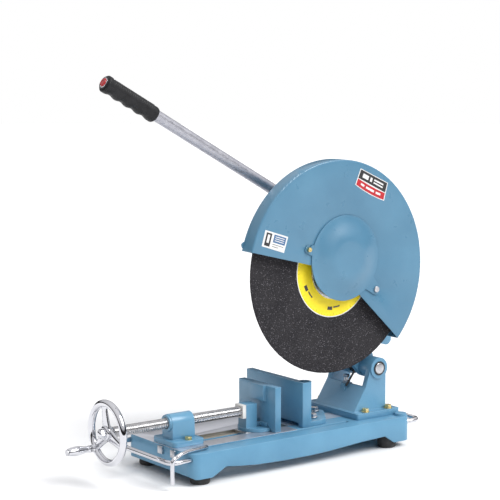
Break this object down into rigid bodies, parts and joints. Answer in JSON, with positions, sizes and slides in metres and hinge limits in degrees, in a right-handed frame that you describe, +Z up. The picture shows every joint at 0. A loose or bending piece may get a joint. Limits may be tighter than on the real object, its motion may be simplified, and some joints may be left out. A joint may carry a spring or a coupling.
{
  "type": "abrasive chop saw",
  "caption": "Abrasive cut-off saw with a cast base, screw vise, sprung pivoting arm, guarded abrasive wheel, gear motor and a long lever handle with a push button.",
  "frame": {"origin": "on the ground, on the centre line of the base, 240 mm in front of the arm's pivot axis", "axes": "+X from the handwheel end to the pivot end, +Z up, -Y towards the side with the abrasive wheel"},
  "size_m": [0.76, 0.306, 0.7523],
  "materials": {
    "blue_paint": "gloss",
    "bare_steel": "satin",
    "chrome": "polished",
    "gold_zinc": "zinc plated",
    "black_rubber": "matte",
    "bronze": "machined",
    "dark_steel": "oiled",
    "black_plastic": "satin",
    "abrasive": "coarse",
    "aluminium": "machined",
    "white_plastic": "satin",
    "red_plastic": "gloss",
    "copper": "enamelled wire",
    "carbon": "matte"
  },
  "bodies": {
    "base": {"base_casting": "blue_paint", "rubber_feet": "black_rubber", "front_bail": "chrome", "rear_bail": "chrome", "nut_block": "blue_paint", "nut_block_bolts": "gold_zinc", "vise_nut": "bronze", "front_wall_bolts": "bare_steel", "pivot_bracket": "blue_paint", "bracket_bolts": "gold_zinc", "pivot_pin": "bare_steel", "pin_rings": "dark_steel", "return_spring": "dark_steel", "stop_bolt": "bare_steel", "stop_nut": "bare_steel", "fixed_jaw_bolts": "bare_steel", "wheel_wrench": "chrome"},
    "screw": {"vise_screw": "bare_steel", "handwheel": "chrome", "handwheel_nut": "chrome", "crank_pin": "bare_steel"},
    "crank": {"crank_handle": "chrome"},
    "carriage": {"jaw_carriage": "blue_paint", "screw_collar": "white_plastic", "guide_block": "bare_steel", "swivel_pin": "bare_steel"},
    "front_jaw": {"moving_jaw": "blue_paint"},
    "back_jaw": {"fixed_jaw": "blue_paint"},
    "arm": {"arm_casting": "blue_paint", "arm_bushings": "bronze", "gear_case_cover": "blue_paint", "gear_case_screws": "bare_steel", "spindle_bearings": "bare_steel", "motor_housing": "blue_paint", "motor_stator": "dark_steel", "motor_end_cap": "blue_paint", "motor_screws": "bare_steel", "brush_holders": "black_plastic", "carbon_brushes": "carbon", "armature_bearings": "bare_steel", "cable_gland": "black_plastic", "wheel_guard": "blue_paint", "guard_back_plate": "blue_paint", "guard_screws": "bare_steel", "cover_screws": "bare_steel", "handle_tube": "bare_steel", "handle_screws": "bare_steel", "handle_grip": "black_plastic", "switch_box": "black_plastic"},
    "wheel": {"spindle": "bare_steel", "spindle_gear": "dark_steel", "inner_flange": "bare_steel", "cutting_wheel": "abrasive", "outer_flange": "bare_steel", "flange_bolt": "bare_steel"},
    "rotor": {"armature": "bare_steel", "commutator": "copper", "cooling_fan": "black_plastic"},
    "cover": {"hub_cover": "blue_paint"},
    "button": {"push_button": "red_plastic"}
  },
  "joints": [
    {"name": "arm_swing", "type": "hinge", "parent": "base", "child": "arm", "pos_m": [0.24, 0, 0.157], "axis": [0, -1, 0], "range_deg": [0, 36], "stiffness_Nm_per_rad": 40, "springref_deg": -63.03},
    {"name": "wheel_spin", "type": "hinge", "parent": "arm", "child": "wheel", "pos_m": [0.109, 0, 0.369], "axis": [0, -1, 0], "continuous": true},
    {"name": "motor_spin", "type": "hinge", "parent": "arm", "child": "rotor", "pos_m": [0.16726, 0, 0.39021], "axis": [0, -1, 0], "continuous": true},
    {"name": "cover_swing", "type": "hinge", "parent": "arm", "child": "cover", "pos_m": [0.2035, -0.092, 0.3256], "axis": [0, -1, 0], "range_deg": [0, 90]},
    {"name": "button_press", "type": "slide", "parent": "arm", "child": "button", "axis": [0.8746, 0, -0.4848], "range_m": [0, 0.0025], "stiffness_N_per_m": 400, "springref_m": -0.003},
    {"name": "jaw_slide", "type": "slide", "parent": "base", "child": "carriage", "axis": [1, 0, 0], "range_m": [-0.1051, 0.0451]},
    {"name": "screw_turn", "type": "hinge", "parent": "carriage", "child": "screw", "pos_m": [-0.372, -0.012, 0.102], "axis": [1, 0, 0], "range_deg": [-9450, 4050]},
    {"name": "crank_spin", "type": "hinge", "parent": "screw", "child": "crank", "pos_m": [-0.412, 0.02951, 0.06592], "axis": [1, 0, 0], "continuous": true},
    {"name": "jaw_swivel", "type": "hinge", "parent": "carriage", "child": "front_jaw", "pos_m": [-0.03, -0.012, 0.062], "axis": [0, 0, 1], "range_deg": [-30, 0]},
    {"name": "back_jaw_angle", "type": "hinge", "parent": "base", "child": "back_jaw", "pos_m": [0.09, -0.036, 0.062], "axis": [0, 0, 1], "range_deg": [-30, 0]}
  ],
  "couplings": [
    {"joint": "motor_spin", "follows": "wheel_spin", "ratio": -4.1667},
    {"joint": "jaw_slide", "follows": "screw_turn", "m_per_rad": 0.00063662},
    {"joint": "jaw_swivel", "follows": "back_jaw_angle", "ratio": 1}
  ]
}
